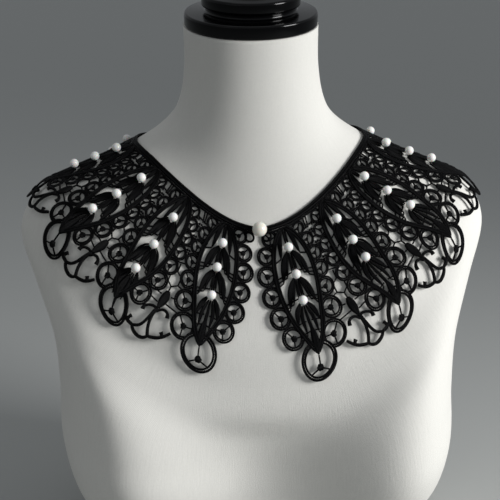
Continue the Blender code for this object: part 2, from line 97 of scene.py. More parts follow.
# %% The form as a function
# height of the side points, half width, depth in front and behind, slope, how far front and back
# hang below the sides, bust; in millimetres but the slope
FORM_SECTIONS = {
    "neck_top":   (438, 55.5, 56, 50, 0.18, 0, 0, 0),
    "neck_mid":   (406, 55.5, 54, 53, 0.22, 3, 0, 0),
    "neck_low":   (378, 60, 54, 61, 0.25, 12, 2, 0),
    "neck_root":  (359, 70, 57, 69, 0.25, 30, 6, 0),
    "neckline":   (344, 90, 63, 81, 0.22, 52, 34, 0),
    "yoke_in":    (330, 121, 79, 95, 0.14, 71, 51, 0),
    "yoke_out":   (317, 153, 93, 104, 0.08, 95, 71, 0),
    "shoulder":   (301, 184, 103, 108, 0.05, 105, 83, 0),
    "shoulder_edge": (272, 198, 110, 110, 0.03, 105, 84, 0),
    "upper_arm":  (232, 189, 114, 109, 0.02, 92, 70, 16),
    "chest":      (184, 177, 106, 106, 0.00, 70, 46, 46),
    "bust":       (134, 174, 102, 102, 0.00, 44, 22, 60),
    "under_bust": (88, 175, 102, 98, 0.00, 22, 10, 60),
    "ribs":       (42, 166, 102, 93, 0.00, 4, 0, 36),
    "turn":       (12, 147, 100, 80, 0.00, 0, 0, 0),
    "base":       (0, 114, 78, 60, 0.00, 0, 0, 0),
}
FORM_TABLE = np.array(list(FORM_SECTIONS.values()), float)
NECK_ROW = list(FORM_SECTIONS).index("neckline")
DROP_POWER = 2.5
BODY_Y = 13.1


def section_at(row):
    """Table values at a fractional row, on a smooth curve through the rows."""
    row = np.clip(np.asarray(row, float), 0.0, len(FORM_TABLE) - 1 - 1e-9)
    low = np.floor(row).astype(int)
    part = (row - low)[..., None]
    last = len(FORM_TABLE) - 1
    before = FORM_TABLE[np.clip(low - 1, 0, last)]
    here = FORM_TABLE[low]
    after = FORM_TABLE[np.clip(low + 1, 0, last)]
    beyond = FORM_TABLE[np.clip(low + 2, 0, last)]
    return 0.5 * (
        2 * here
        + (after - before) * part
        + (2 * before - 5 * here + 4 * after - beyond) * part**2
        + (3 * here - before - 3 * after + beyond) * part**3
    )


def form_surface(turn, row):
    """Points of the form; turn is the angle from the centre front towards +X."""
    turn, row = np.broadcast_arrays(np.asarray(turn, float), np.asarray(row, float))
    values = np.moveaxis(section_at(row), -1, 0)
    side_z, half_width, front, back, slope, front_drop, back_drop, bust = values
    ahead = np.cos(turn)
    size = np.abs(ahead)
    in_front = ahead > 0
    fullness = np.sin(2 * turn) ** 2
    x = half_width * np.sin(turn)
    y = np.where(in_front, -front * size - bust * fullness, back * size)
    z = side_z + slope * y - np.where(in_front, front_drop, back_drop) * size**DROP_POWER
    return np.stack([x, y + BODY_Y, z], axis=-1)


def form_normal(turn, row):
    step = 1e-3
    around = form_surface(turn + step, row) - form_surface(turn - step, row)
    down = form_surface(turn, row + step) - form_surface(turn, row - step)
    normal = np.cross(down, around)
    return normal / np.linalg.norm(normal, axis=-1, keepdims=True)


print("form sections:", len(FORM_TABLE))

# %% [markdown]
# ## From the flat pattern to the form
# Lace like this is sewn flat, as part of a ring: the neckline is an arc, and every leaf panel
# takes one equal angle of it. Drawing it flat keeps circles round and spacings true. The drape
# then carries each flat point to the form, by marching outward from the neckline one millimetre
# at a time, so that lengths on the form stay those of the pattern.

# %% The drape
PANELS_IN_ALL = 14
PANEL_ANGLE = 0.385
NECK_RADIUS = 106.5
LACE_DEPTH = 117.0
FIRST_AXIS_NECK = {-1: 27.0, 1: 19.5}  # centre front to the first axis, at the neckline
FIRST_AXIS_EDGE = {-1: 54.0, 1: 45.0}
OUTWARD_STRETCH = {-1: 0.965, 1: 1.02}  # the left half sits a little higher than the right
SIDE_SHORTENING = 0.08  # over the shoulders it is pulled up a little
EDGE_STEP = {-1: 80.0, 1: 78.0}
NECK_RISE = 3.0  # the neck edge runs over the form's neckline in front, to a shallow point
NECK_RISE_BESIDE = {-1: 4.0, 1: 1.8}
NECK_RISE_ENDS = math.radians(65)
SIDE_DIP = {-1: 10.0, 1: 6.0}  # past there, the neck edge hangs a little lower than the neckline
PANEL_PULL = 8.0  # the panels over the shoulders lie this much nearer the front
PANEL_PULL_FROM = 0.8
SEAM_GAP = 0.3
FRONT_GAP = 1.2
LACE_GAP = 0.8  # between the form and the lace at the neck
HEM_LIFT = 1.9  # how much further the hem stands off
LACE_WALL = 1.4


def lengths_along(points):
    steps = np.linalg.norm(np.diff(points, axis=0), axis=1)
    return np.concatenate([[0.0], np.cumsum(steps)])


class Drape:
    """Carries points of the flat pattern to the form."""

    TURNS = np.radians(np.linspace(0.0, 180.0, 361))
    ROWS = np.linspace(NECK_ROW, NECK_ROW + 7.0, 500)
    PANEL_STEP = 0.05
    FIRST_PANEL = -0.6

    def __init__(self, side):
        self.side = side
        self.first_neck = FIRST_AXIS_NECK[side]
        self.neck_lengths = lengths_along(form_surface(self.TURNS, NECK_ROW))
        edge_rows = []
        for turn in self.TURNS:
            down = lengths_along(form_surface(turn, self.ROWS))
            edge_rows.append(np.interp(LACE_DEPTH, down, self.ROWS))
        self.edge_lengths = lengths_along(form_surface(self.TURNS, np.array(edge_rows)))
        self.back_axis = (PANELS_IN_ALL - 1) / 2
        self.neck_step = (self.neck_lengths[-1] - self.first_neck) / self.back_axis
        self.first_edge = FIRST_AXIS_EDGE[side]
        self.edge_step = EDGE_STEP[side]
        spread = self.edge_lengths[-1] - self.first_edge - self.edge_step * self.back_axis
        self.edge_bend = spread / (self.back_axis * (self.back_axis - 1))
        self.panels = np.arange(self.FIRST_PANEL, self.back_axis + 0.6, self.PANEL_STEP)
        to_the_side = np.clip((self.panels - 1.4) / 1.6, 0.0, 1.0)
        self.rise = self.rise_at(self.turn_of(self.panels, 0.0))
        self.stretch = OUTWARD_STRETCH[side] * (1 - SIDE_SHORTENING * to_the_side)
        self.stretch *= 1 + self.rise / LACE_DEPTH
        self.rows = self.march()

    def angle_at_neck(self, length):
        return (length - self.first_neck) / self.neck_step * PANEL_ANGLE

    def turn_of(self, panel, outward):
        share = np.clip((panel - PANEL_PULL_FROM) / (self.back_axis - PANEL_PULL_FROM), 0.0, 1.0)
        pull = PANEL_PULL * np.sin(math.pi * share)
        neck_at = self.first_neck + panel * self.neck_step - pull
        edge_at = self.first_edge + self.edge_step * panel - pull
        edge_at = edge_at + self.edge_bend * panel * (panel - 1)
        neck_turn = self.turn_at(neck_at, self.neck_lengths)
        edge_turn = self.turn_at(edge_at, self.edge_lengths)
        return neck_turn + (edge_turn - neck_turn) * outward / LACE_DEPTH

    def turn_at(self, length, lengths):
        return np.sign(length) * np.interp(np.abs(length), lengths, self.TURNS)

    def rise_at(self, turn):
        """How far over the form's neckline the neck edge lies, in millimetres."""
        share = np.clip(np.abs(turn) / NECK_RISE_ENDS, 0.0, 1.0)
        beside = NECK_RISE_BESIDE[self.side] * np.sin(math.pi * share)
        behind = np.clip((np.abs(turn) - NECK_RISE_ENDS) / (math.pi - NECK_RISE_ENDS), 0.0, 1.0)
        dip = SIDE_DIP[self.side] * np.sin(math.pi * behind)
        return NECK_RISE * (1 - share) ** 2 * (1 + 2 * share) + beside - dip

    def march(self):
        turn_now = self.turn_of(self.panels, 0.0)
        step = form_surface(turn_now, NECK_ROW) - form_surface(turn_now, NECK_ROW - 0.1)
        row = NECK_ROW - 0.1 * self.rise / np.linalg.norm(step, axis=-1)
        rows = [row]
        for outward in range(1, 141):
            start = form_surface(self.turn_of(self.panels, outward - 1.0), row)
            turn_now = self.turn_of(self.panels, float(outward))
            near, far = row, row + 0.4
            for _ in range(16):
                middle = (near + far) / 2
                gone = np.linalg.norm(form_surface(turn_now, middle) - start, axis=-1)
                near = np.where(gone < self.stretch, middle, near)
                far = np.where(gone < self.stretch, far, middle)
            row = (near + far) / 2
            rows.append(row)
        return np.array(rows).T

    def place(self, flat, lift):
        """Places at a height over the form, and the way out of it there."""
        flat = np.asarray(flat, float)
        reach = np.hypot(flat[:, 0], flat[:, 1])
        panel = np.arctan2(flat[:, 0], flat[:, 1]) / PANEL_ANGLE
        outward = reach - NECK_RADIUS
        across = np.clip((panel - self.FIRST_PANEL) / self.PANEL_STEP, 0, len(self.panels) - 1.001)
        along = np.clip(outward, 0, self.rows.shape[1] - 1.001)
        i = across.astype(int)
        j = along.astype(int)
        a = across - i
        b = along - j
        row = (self.rows[i, j] * (1 - a) + self.rows[i + 1, j] * a) * (1 - b)
        row += (self.rows[i, j + 1] * (1 - a) + self.rows[i + 1, j + 1] * a) * b
        turn = self.side * self.turn_of(panel, outward)
        normal = form_normal(turn, row)
        return form_surface(turn, row) + normal * np.reshape(lift, (-1, 1)), normal


def standoff(flat):
    """How far the lace stands off the form: it lies close at the neck and springs at the hem."""
    outward = np.hypot(flat[:, 0], flat[:, 1]) - NECK_RADIUS
    share = np.clip((outward - 45.0) / 70.0, 0.0, 1.0)
    return LACE_GAP + HEM_LIFT * share**2 * (3 - 2 * share)


drapes = {side: Drape(side) for side in (-1, 1)}
print("panel spacing at the neckline", [round(float(d.neck_step), 1) for d in drapes.values()])

# %% [markdown]
# ## The flat pattern of one panel
# Each panel is an almond frame of double cord that springs from the neck band. A row of rings
# hugs each side of it, growing towards the hem, and the largest ring hangs at its tip. The rings
# are placed by walking along the frame until each one just touches the last, so their places
# follow from their sizes alone.

# %% Frame and rings
FRAME_ROOT = 4.0
FRAME_TIP = 105.0
FRAME_HALF_WIDTH = 19.2
TIP_RING = (0.0, 110.0, 15.9)
RING_OVERLAP = 0.6
FRAME_OVERLAP = 3.2  # how far a ring runs under the frame
RING_START = 12.0
OUTER_RING_RADII = (6.0, 6.2, 6.4, 6.8, 7.6, 9.2, 10.9)
INNER_RING_RADII = (5.8, 6.0, 6.2, 6.6, 7.2, 8.4, 9.3)
FRONT_RING_RADII = (7.0, 7.8, 8.4, 8.6, 9.2, 9.3)
FRONT_CORNER_RINGS = {-1: (-22.4, 7.6, 4.6), 1: (-15.4, 7.4, 4.4)}  # the smallest, by the band
# outward places of the pearls, as sewn on the first panels of each side
PEARL_PLACES = {
    (-1, 0): (23.0, 42.4, 64.6), (-1, 1): (27.3, 53.2, 76.8), (-1, 2): (22.0, 46.8, 70.5),
    (1, 0): (22.5, 43.2, 63.4), (1, 1): (24.4, 44.2, 60.5), (1, 2): (19.0, 40.5, 62.5),
}
OTHER_PEARLS = (22.0, 45.5, 67.5)
PEARL_RADIUS = 3.8
FRONT_PEARL_RADIUS = 6.0
SEAT_GAP = 0.3


def frame_half_width(outward):
    share = (np.asarray(outward, float) - FRAME_ROOT) / (FRAME_TIP - FRAME_ROOT)
    share = np.clip(share, 1e-4, 1 - 1e-4)
    return FRAME_HALF_WIDTH * np.sin(math.pi * share**0.8) ** 0.66


def ring_beside_frame(outward, radius, side):
    slope = float(frame_half_width(outward + 0.5) - frame_half_width(outward - 0.5))
    normal = Vector((1.0, -slope)).normalized() * (radius - FRAME_OVERLAP)
    return (side * (float(frame_half_width(outward)) + normal.x), outward + normal.y)


def ring_row(radii, side):
    """Rings that touch one after another down one side of the frame: across, outward, radius."""
    rings = []
    outward = RING_START
    for radius in radii:
        centre = ring_beside_frame(outward, radius, side)
        while rings and math.dist(centre, rings[-1][:2]) < rings[-1][2] + radius - RING_OVERLAP:
            outward += 0.1
            centre = ring_beside_frame(outward, radius, side)
        rings.append((*centre, radius))
    return rings


def to_pattern(points, panel):
    """Turns points of one panel, across and outward from the neckline, to its place."""
    angle = panel * PANEL_ANGLE
    points = np.asarray(points, float).reshape(-1, 2) + (0.0, NECK_RADIUS)
    x = points[:, 0] * math.cos(angle) + points[:, 1] * math.sin(angle)
    y = points[:, 1] * math.cos(angle) - points[:, 0] * math.sin(angle)
    return np.stack([x, y], axis=1)


def pearl_places(side, panel):
    return PEARL_PLACES.get((side, panel), OTHER_PEARLS)


outer_rings = ring_row(OUTER_RING_RADII, 1)
inner_rings = ring_row(INNER_RING_RADII, -1)
front_rings = ring_row(FRONT_RING_RADII, -1)
print("rings a panel:", len(outer_rings) + len(inner_rings) + 1)

# %% [markdown]
# ## Cords
# A sewn cord is a bundle of thread with more thread wound over it. Each one is made here as a
# tube: a path in the flat pattern, a half width and a height that may change along it, and a
# cross section. The sections are a plain round one, and a mound with a furrow for the satin
# leaves. All the tubes of one lace half go into a single mesh, because they are one sewn cloth.
# Two numbers are kept on every point: how far along the cord it is, and where round it. The
# thread material winds its stitches by them.

# %% Cord builder
ROUND = [(math.cos(a), math.sin(a)) for a in np.arange(6) * math.pi / 3 + math.pi / 6]
FINE_ROUND = [(math.cos(a), math.sin(a)) for a in np.arange(8) * math.pi / 4]
THIN = [(math.cos(a), math.sin(a)) for a in np.arange(4) * math.pi / 2 + math.pi / 4]
LEAF = [
    (1.0, -0.5), (0.92, 0.25), (0.62, 0.82), (0.30, 1.0), (0.0, 0.62),
    (-0.30, 1.0), (-0.62, 0.82), (-0.92, 0.25), (-1.0, -0.5), (0.0, -0.7),
]
CORD_STEP = 1.5  # longest step along a cord
FLATNESS = 0.75  # height of a cord over its width, pressed as it is sewn


def resample(path, step, closed=False):
    """The same path with points at even steps."""
    path = np.asarray(path, float)
    if closed:
        path = np.vstack([path, path[:1]])
    run = lengths_along(path)
    count = max(2, math.ceil(run[-1] / step) + 1)
    at = np.linspace(0, run[-1], count)
    points = np.stack([np.interp(at, run, path[:, k]) for k in range(2)], axis=1)
    return points[:-1] if closed else points


def spread(value, count):
    """A size at each of so many points, from one value or from a few along the way."""
    if np.ndim(value) == 0:
        return np.full(count, float(value))
    return np.interp(np.linspace(0, 1, count), np.linspace(0, 1, len(value)), value)


def new_piece(name, points, faces, material):
    """A smooth mesh object; its points are given in millimetres."""
    mesh = bpy.data.meshes.new(name)
    mesh.from_pydata((np.asarray(points) * MM).tolist(), [], faces)
    mesh.polygons.foreach_set("use_smooth", [True] * len(faces))
    mesh.materials.append(material)
    mesh.update()
    thing = bpy.data.objects.new(name, mesh)
    bpy.context.collection.objects.link(thing)
    return thing


class Thread:
    """Collects the cords of one lace half and turns them into one mesh."""

    def __init__(self, side):
        self.side = side
        self.cords = []

    def cord(self, path, width, height=None, lift=1.0, section=ROUND, closed=False, step=CORD_STEP):
        """width and height are half sizes; lift is the middle's height over the lace's underside."""
        points = resample(path, step, closed)
        count = len(points)
        widths = spread(width, count)
        heights = FLATNESS * widths if height is None else spread(height, count)
        lifts = FLATNESS * spread(lift, count)
        self.cords.append((points, widths, heights, lifts, section, closed))

    def build(self, name, material):
        every = np.vstack([cord[0] for cord in self.cords])
        lifts = np.concatenate([cord[3] for cord in self.cords])
        middles, normals = drapes[self.side].place(every, standoff(every) + lifts)
        vertices, faces, along, around = [], [], [], []
        start = used = 0
        for points, widths, heights, _, section, closed in self.cords:
            count = len(points)
            middle = middles[start:start + count]
            normal = normals[start:start + count]
            start += count
            if closed:
                tangent = np.roll(middle, -1, axis=0) - np.roll(middle, 1, axis=0)
            else:
                tangent = np.gradient(middle, axis=0)
            tangent /= np.linalg.norm(tangent, axis=1, keepdims=True)
            across = np.cross(tangent, normal)
            across /= np.linalg.norm(across, axis=1, keepdims=True)
            shape = np.array(section)
            size = len(shape)
            ring = (
                middle[:, None]
                + across[:, None] * (widths[:, None, None] * shape[None, :, :1])
                + normal[:, None] * (heights[:, None, None] * shape[None, :, 1:])
            )
            vertices.append(ring.reshape(-1, 3))
            along.append(np.repeat(lengths_along(middle), size))
            around.append(np.tile(shape[:, 0], count) * np.repeat(widths, size))
            links = count if closed else count - 1
            k = np.arange(links)[:, None] * size
            j = np.arange(size)[None, :]
            after = (np.arange(links)[:, None] + 1) % count * size
            quads = np.stack([k + j, k + (j + 1) % size, after + (j + 1) % size, after + j], axis=-1)
            faces += (quads.reshape(-1, 4) + used).tolist()
            if not closed:
                faces.append([used + n for n in reversed(range(size))])
                faces.append([used + (count - 1) * size + n for n in range(size)])
            used += count * size
        thing = new_piece(name, np.vstack(vertices), faces, material)
        for label, values in (("along", along), ("around", around)):
            layer = thing.data.attributes.new(label, "FLOAT", "POINT")
            layer.data.foreach_set("value", np.concatenate(values).astype(np.float32))
        return thing


print("cord sections:", len(ROUND), len(FINE_ROUND), len(THIN), len(LEAF))

# %% [markdown]
# ## The drawing of the lace
# The lace is drawn element by element, each as a few cords: the frame, the rings with a round
# knot held in each by three ties, the satin leaves under every pearl, the large ring at the tip,
# and in the valley between two panels a bud with two scrolls and a net of thin ties. Every
# element is a function that gets its panel and its place, so a change to one shows in all.

# %% Elements of a panel
FRAME_TOP = 5.0  # where the frame's cords start, outward from the neckline
FIRST_RUNG = 9.0
FRAME_RUNG = (1.2, 3.0)  # a stitch's ends, in from the frame's edge
FULL_RING = 8.8  # smaller rings have thinner cords and a smaller knot
SMALLEST_SCALE = 0.66
KNOT_WAYS = {1: (180, -55, 80), -1: (0, 235, 100)}  # ties on either side of the frame, in degrees
KNOT_REACHES = (0.95, 1.0, 0.98)
KNOT_INSET = 2.1
KNOT_OFFSET = (0.06, 0.04)  # a knot's place off the ring's middle, in radii
TIP_KNOT_OUT = 5.4  # the tip's knot hangs this far below the ring's middle
TIP_KNOT_WAYS = (-90, 24, 156)
TIP_KNOT_REACHES = (9.5, 10.4, 10.4)
TIP_KNOT_SIZE = 1.15
BACK_SEAM = (PANELS_IN_ALL - 1) / 2 * PANEL_ANGLE - SEAM_GAP / 2 / NECK_RADIUS
FRAME_CORDS = ((1.00, 1.20), (3.05, 1.12))  # distance in from the edge, and half width
RING_CORDS = ((0.80, 0.98), (2.50, 0.86))
TIP_CORDS = ((1.00, 1.15), (3.15, 1.00))
TIE = 0.84  # half width of the thin ties
TIE_LIFT = 0.8
RUNG = 0.30  # half width of the small stitches that join two cords
RUNG_LIFT = 0.7
RUNG_STEP = 2.3
RUNG_ROOM = 1.6  # closer cords than this have no stitches between them
SEAM_MARGIN = 0.004  # how far short of the back seam the cords stop, as an angle
UNDER_FRAME = 0.9  # how far under the frame's edge a ring's cords go on


def circle(centre, radius):
    count = max(12, round(2 * math.pi * radius / CORD_STEP))
    angles = np.arange(count) * 2 * math.pi / count
    return np.stack([centre[0] + radius * np.cos(angles), centre[1] + radius * np.sin(angles)], 1)


def smooth_path(points, per_span=5):
    """A smooth curve through a few points."""
    points = np.asarray(points, float)
    if len(points) < 3:
        return points
    ends = np.vstack([2 * points[0] - points[1], points, 2 * points[-1] - points[-2]])
    at = np.linspace(0, 1, per_span, endpoint=False)[:, None]
    spans = []
    for a, b, c, d in zip(ends, ends[1:], ends[2:], ends[3:]):
        spans.append(0.5 * (2 * b + (c - a) * at + (2 * a - 5 * b + 4 * c - d) * at**2
                            + (3 * b - a - 3 * c + d) * at**3))
    return np.vstack(spans + [points[-1:]])


def inside_frame(points, margin):
    """Which panel points lie within the frame's edge, less a margin."""
    return np.abs(points[:, 0]) < frame_half_width(points[:, 1]) - margin


def inside_ring(points, ring, margin):
    return np.hypot(points[:, 0] - ring[0], points[:, 1] - ring[1]) < ring[2] - margin


class Panel:
    """Draws cords in one panel's own coordinates: across its axis, and outward."""

    def __init__(self, thread, number):
        self.thread = thread
        self.number = number

    def cord(self, points, width, keep=None, closed=False, **more):
        """A cord through panel points, only where keep allows it and short of the back seam."""
        points = np.asarray(points, float)
        if closed:
            step = more.get("step", CORD_STEP)
            points = resample(points, step, closed=True)
        flat = to_pattern(points, self.number)
        allowed = np.arctan2(flat[:, 0], flat[:, 1]) < BACK_SEAM - SEAM_MARGIN
        if keep is not None:
            allowed &= keep(points)
        if closed and allowed.all():
            self.thread.cord(flat, width, closed=True, **more)
            return
        if closed:
            first = int(np.argmin(allowed))
            flat = np.roll(flat, -first, axis=0)
            allowed = np.roll(allowed, -first)
        changes = np.flatnonzero(np.diff(np.concatenate([[0], allowed.astype(int), [0]])))
        for first, last in changes.reshape(-1, 2):
            if last - first > 1:
                self.thread.cord(flat[first:last], width, **more)

    def double_cord(self, centre, radius, cords, keep):
        """A ring of two cords with small stitches between them."""
        for inset, half in cords:
            self.cord(circle(centre, radius - inset), half, keep, closed=True, lift=half)
        outer = radius - cords[0][0] - cords[0][1] * 0.4
        inner = radius - cords[1][0] + cords[1][1] * 0.4
        if cords[1][0] - cords[0][0] < RUNG_ROOM:
            return
        for angle in np.arange(0, 2 * math.pi, RUNG_STEP / radius):
            way = np.array((math.cos(angle), math.sin(angle)))
            rung = np.array([way * inner, way * outer]) + centre[:2]
            if keep(rung).all():
                self.cord(rung, RUNG, section=THIN, lift=RUNG_LIFT, step=4.0)

    def knot(self, centre, ways, reach, size=1.0):
        """A round knot of three lobes with a thin tie from each to the ring round it."""
        centre = np.array(centre[:2])
        for degrees, length in zip(ways, reach):
            way = np.array((math.cos(math.radians(degrees)), math.sin(math.radians(degrees))))
            lobe = [centre, centre + way * 1.0 * size, centre + way * 2.4 * size]
            self.cord(lobe, np.array((1.9, 2.3, 2.2, 1.6)) * size, height=0.95, lift=1.0, step=0.7)
            self.cord([centre + way * 2.0 * size, centre + way * length], TIE,
                      section=THIN, lift=TIE_LIFT, step=2.5)

    def leaf(self, points, half_width, height=0.85, lift=0.95):
        """A satin leaf with a furrow down its middle."""
        widths = np.array((0.35, 0.72, 0.95, 1.0, 0.92, 0.66, 0.22)) * half_width
        path = smooth_path(points)
        self.cord(path, widths, section=LEAF, height=height, lift=lift, step=1.7)

    def tie(self, start, end):
        self.cord([start, end], TIE, section=THIN, lift=TIE_LIFT, step=4.0)


def draw_frame(panel):
    """The almond frame: two cords down each side, and stitches between them."""
    outward = np.linspace(FRAME_TOP, FRAME_TIP - 0.4, 90)
    for side in (1, -1):
        for inset, half in FRAME_CORDS:
            edge = frame_half_width(outward)
            slope = np.gradient(edge, outward)
            scale = 1 / np.sqrt(1 + slope**2)
            across = np.maximum(edge - inset * scale, 0.5 * half)
            path = np.stack([side * across, outward + inset * slope * scale], 1)
            path = path[(edge - inset * scale > 0.2)]
            panel.cord(path, half, lift=half + 0.1)
        edge = frame_half_width(outward)
        run = lengths_along(np.stack([edge, outward], 1))
        for at in np.arange(FIRST_RUNG, run[-1] - FRAME_TOP, RUNG_STEP):
            y = float(np.interp(at, run, outward))
            slope = float(frame_half_width(y + 0.5) - frame_half_width(y - 0.5))
            way = np.array((1.0, -slope)) / math.hypot(1.0, slope)
            start = np.array((float(frame_half_width(y)), y))
            rung = np.array([start - way * inset for inset in FRAME_RUNG]) * (side, 1)
            panel.cord(rung, RUNG, section=THIN, lift=RUNG_LIFT, step=4.0)


def draw_ring(panel, ring, side):
    """A ring beside the frame, with its knot. side is the way from the frame to the ring."""
    def keep(points):
        return ~inside_frame(points, UNDER_FRAME) & ~inside_ring(points, TIP_RING, 0.6)

    scale = min(1.0, max(SMALLEST_SCALE, ring[2] / FULL_RING))
    panel.double_cord(ring, ring[2], [(inset * scale, half * scale) for inset, half in RING_CORDS], keep)
    centre = (ring[0] - side * KNOT_OFFSET[0] * ring[2], ring[1] + KNOT_OFFSET[1] * ring[2])
    reach = (ring[2] - KNOT_INSET * scale) * np.array(KNOT_REACHES)
    panel.knot(centre, KNOT_WAYS[side], reach, scale**1.6)


def draw_tip(panel):
    """The leaf at the frame's foot, and the large ring that hangs there."""
    panel.leaf([(0, FRAME_TIP - 21.0), (0, FRAME_TIP - 10.0), (0, FRAME_TIP + 0.5)], 3.0, lift=1.2)

    def keep(points):
        return ~(inside_frame(points, 2.6) & (points[:, 1] < FRAME_TIP - 2.0))

    panel.double_cord(TIP_RING, TIP_RING[2], TIP_CORDS, keep)
    centre = (TIP_RING[0], TIP_RING[1] + TIP_KNOT_OUT)
    panel.knot(centre, TIP_KNOT_WAYS, TIP_KNOT_REACHES, TIP_KNOT_SIZE)


def draw_leaves(panel):
    """Leaves that spring from the neck band and from under each pearl."""
    first, second, third = pearl_places(panel.thread.side, panel.number)
    # start, bend and end of a leaf, across and outward, and its half width
    leaves = [((1.4, 5.2), (5.2, 0.40 * first + 4.0), (8.6, first + 6.0), 2.0)]
    for place in (first, second):
        leaves += [
            ((1.8, place + 1.5), (7.6, place + 10.0), (11.6, place + 24.0), 2.3),
            ((1.4, place + 3.0), (5.0, place + 11.0), (7.4, place + 21.0), 1.3),
            ((0.9, place + 4.5), (1.9, place + 11.0), (2.6, place + 18.0), 0.9),
        ]
    leaves += [
        ((2.2, third + 1.0), (7.0, third + 8.0), (9.2, third + 17.0), 2.1),
        ((1.6, third + 4.0), (4.6, third + 14.0), (4.8, third + 26.0), 1.6),
    ]
    if panel.number > 0:
        leaves += [
            ((3.0, place + 0.5), (9.0, place + 5.5), (12.2, place + 15.0), 1.0)
            for place in (first, second)
        ]
    for start, bend, end, half in leaves:
        for side in (1, -1):
            path = [(side * x, y) for x, y in (start, bend, end)]
            panel.leaf(path, half)
            edge = float(frame_half_width(end[1] + 2.0)) - 3.0
            if edge > end[0]:
                panel.tie((side * end[0], end[1]), (side * edge, end[1] + 2.0))
    panel.leaf([(0, third + 4.0), (0, third + 20.0), (0, third + 37.0)], 1.5, height=1.0)
    for upper, lower in ((5.0, first - 3.0), (first + 3.5, second - 3.5), (second + 3.5, third - 3.5)):
        for side in (1, -1):
            panel.cord([(side * 0.9, upper), (side * 0.9, lower)], (0.6, 1.0, 1.0, 0.6), lift=0.9)
    for outward in (third + 16.0, third + 24.0, third + 31.0):
        for side in (1, -1):
            edge = float(frame_half_width(outward + 1.0)) - 3.2
            if edge > 2.5:
                panel.tie((side * 2.2, outward), (side * edge, outward + 1.0))


print("ring stitches every", RUNG_STEP, "mm")

# %% [markdown]
# ## The valley between two panels
# Below the point where the two rows of rings part, the gap is filled by a bud on a stem. Two
# scrolls curl away from the bud's foot, and the hem runs round three shallow scallops, the outer
# two with a small knob curled inward. The drawing is kept in the valley's own coordinates, across
# from its middle and outward from the neckline, so that one table serves all of them.

# %% Elements of a valley
# name: points, half width at the start, middle and end
VALLEY_CORDS = {
    "stem":        (((2.2, 92.0), (4.4, 100.0), (5.0, 107.5), (4.2, 115.0)), (1.5, 1.4, 1.5)),
    "hem_curve":   (((3.0, 93.0), (5.4, 99.0), (9.0, 106.0), (13.5, 111.0), (19.4, 113.8)),
                    (1.5, 1.45, 1.4)),
    "far_scroll":  (((2.6, 92.6), (6.4, 92.2), (10.6, 93.8), (13.3, 96.2), (13.7, 98.8)),
                    (1.3, 1.35, 1.9)),
    "near_scroll": (((2.2, 95.0), (-0.6, 92.0), (-4.0, 91.0), (-7.2, 92.4), (-8.2, 95.6)),
                    (1.3, 1.35, 1.9)),
    "scallop_1":   (((-15.0, 104.5), (-10.5, 108.8), (-5.4, 112.2), (0.0, 114.2), (4.2, 115.2)),
                    (1.4, 1.6, 1.4)),
    "scallop_2":   (((4.2, 115.2), (7.6, 118.0), (12.3, 119.4), (16.6, 118.4), (19.2, 115.9),
                     (19.4, 113.8)), (1.4, 1.6, 1.4)),
    "scallop_3":   (((19.4, 113.8), (23.6, 113.2), (27.0, 110.8), (30.5, 106.5)),
                    (1.4, 1.6, 1.4)),
    "knob_1":      (((-8.6, 110.2), (-8.2, 108.2), (-7.0, 106.8)), (1.3, 1.5, 1.9)),
    "knob_3":      (((24.6, 112.6), (23.4, 109.8), (21.4, 107.6)), (1.3, 1.5, 1.9)),
}
VALLEY_BUD = ((1.6, 76.5), (1.4, 84.0), (2.2, 92.0))
VALLEY_BUD_HALF_WIDTH = 3.7
# corners of the net, and which of them a tie joins
NET_CORNERS = {
    "a": (-3.4, 62.5), "b": (1.6, 59.6), "c": (6.4, 62.8), "d": (6.2, 69.4),
    "e": (1.6, 72.4), "f": (-3.4, 69.2), "g": (1.6, 77.0), "h": (-2.6, 80.0),
    "i": (5.4, 81.0), "j": (-2.0, 86.5), "k": (4.8, 88.0), "l": (1.6, 53.0),
}
NET_TIES = ("ab", "bc", "cd", "de", "ef", "fa", "eg", "bl")
# from a corner of the net towards the rings on either side
NET_REACHES = {
    "a": (-12.0, 59.5), "c": (14.5, 60.0), "d": (14.5, 71.5), "f": (-13.0, 71.5),
    "h": (-13.0, 79.0), "i": (16.0, 80.0), "j": (-14.0, 88.5), "k": (12.5, 86.5),
}
NECK_CORD = 5.6  # the cord that the band is sewn to, outward from the neckline
NECK_CORD_HALF_WIDTH = 1.05
NECK_TIES = (-10.5, -7.5, -2.2, 0.6, 7.5, 10.5)  # across, from that cord to the rings
UPPER_TIES = (14.0, 24.0, 31.0, 38.0, 45.0, 52.0)
ROSETTES = (18.5, 29.0, 41.5)


def from_valley(points):
    """Panel points of places given across from the valley's middle, and outward."""
    points = np.asarray(points, float)
    reach = NECK_RADIUS + points[:, 1]
    angle = PANEL_ANGLE / 2 + points[:, 0] / reach
    return np.stack([reach * np.sin(angle), reach * np.cos(angle) - NECK_RADIUS], axis=1)


def next_panel(points):
    """The same places in the next panel's coordinates."""
    flat = to_pattern(points, -1.0)
    return flat - (0.0, NECK_RADIUS)


def clear_of_rings(points, margin=1.2):
    """Which points of a valley lie outside every ring and frame on either side of it."""
    beyond = next_panel(points)
    fine = ~inside_ring(points, TIP_RING, margin) & ~inside_ring(beyond, TIP_RING, margin)
    fine &= ~inside_frame(points, margin) & ~inside_frame(beyond, margin)
    for ring in outer_rings:
        fine &= ~inside_ring(points, ring, margin)
    for ring in inner_rings:
        fine &= ~inside_ring(beyond, ring, margin)
    return fine


